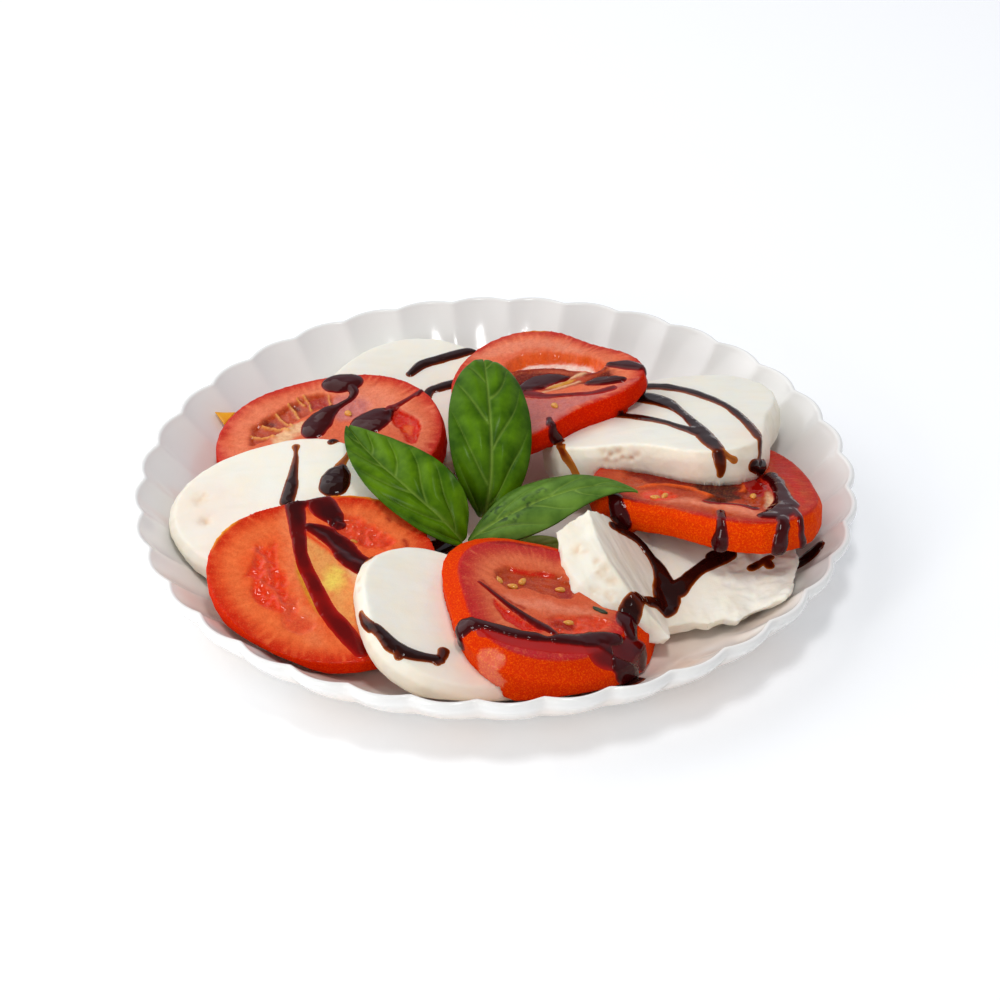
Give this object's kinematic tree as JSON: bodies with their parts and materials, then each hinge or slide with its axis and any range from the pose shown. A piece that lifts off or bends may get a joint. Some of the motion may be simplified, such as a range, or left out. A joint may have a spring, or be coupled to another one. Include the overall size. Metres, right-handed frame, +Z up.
{
  "type": "caprese salad on a plate",
  "caption": "Caprese salad on a round fluted porcelain plate: tomato and mozzarella slices overlap in a ring round upright basil leaves.",
  "frame": {"origin": "middle of the plate's foot, on the surface the plate stands on", "axes": "+Z up, -Y towards the viewer, +X to the right"},
  "size_m": [0.2244, 0.2244, 0.0452],
  "materials": {
    "porcelain": "glossy white glaze",
    "mozzarella": null,
    "tomato": null,
    "basil": "fresh leaf with a soft sheen",
    "glaze": "thick glossy balsamic glaze"
  },
  "bodies": {
    "root": {"plate": "porcelain", "mozzarella_1": "mozzarella", "mozzarella_2": "mozzarella", "mozzarella_3": "mozzarella", "mozzarella_4": "mozzarella", "mozzarella_5": "mozzarella", "tomato_1": "tomato", "tomato_2": "tomato", "tomato_3": "tomato", "tomato_4": "tomato", "tomato_5": "tomato", "basil_1": "basil", "basil_2": "basil", "basil_3": "basil", "basil_4": "basil"}
  },
  "joints": []
}
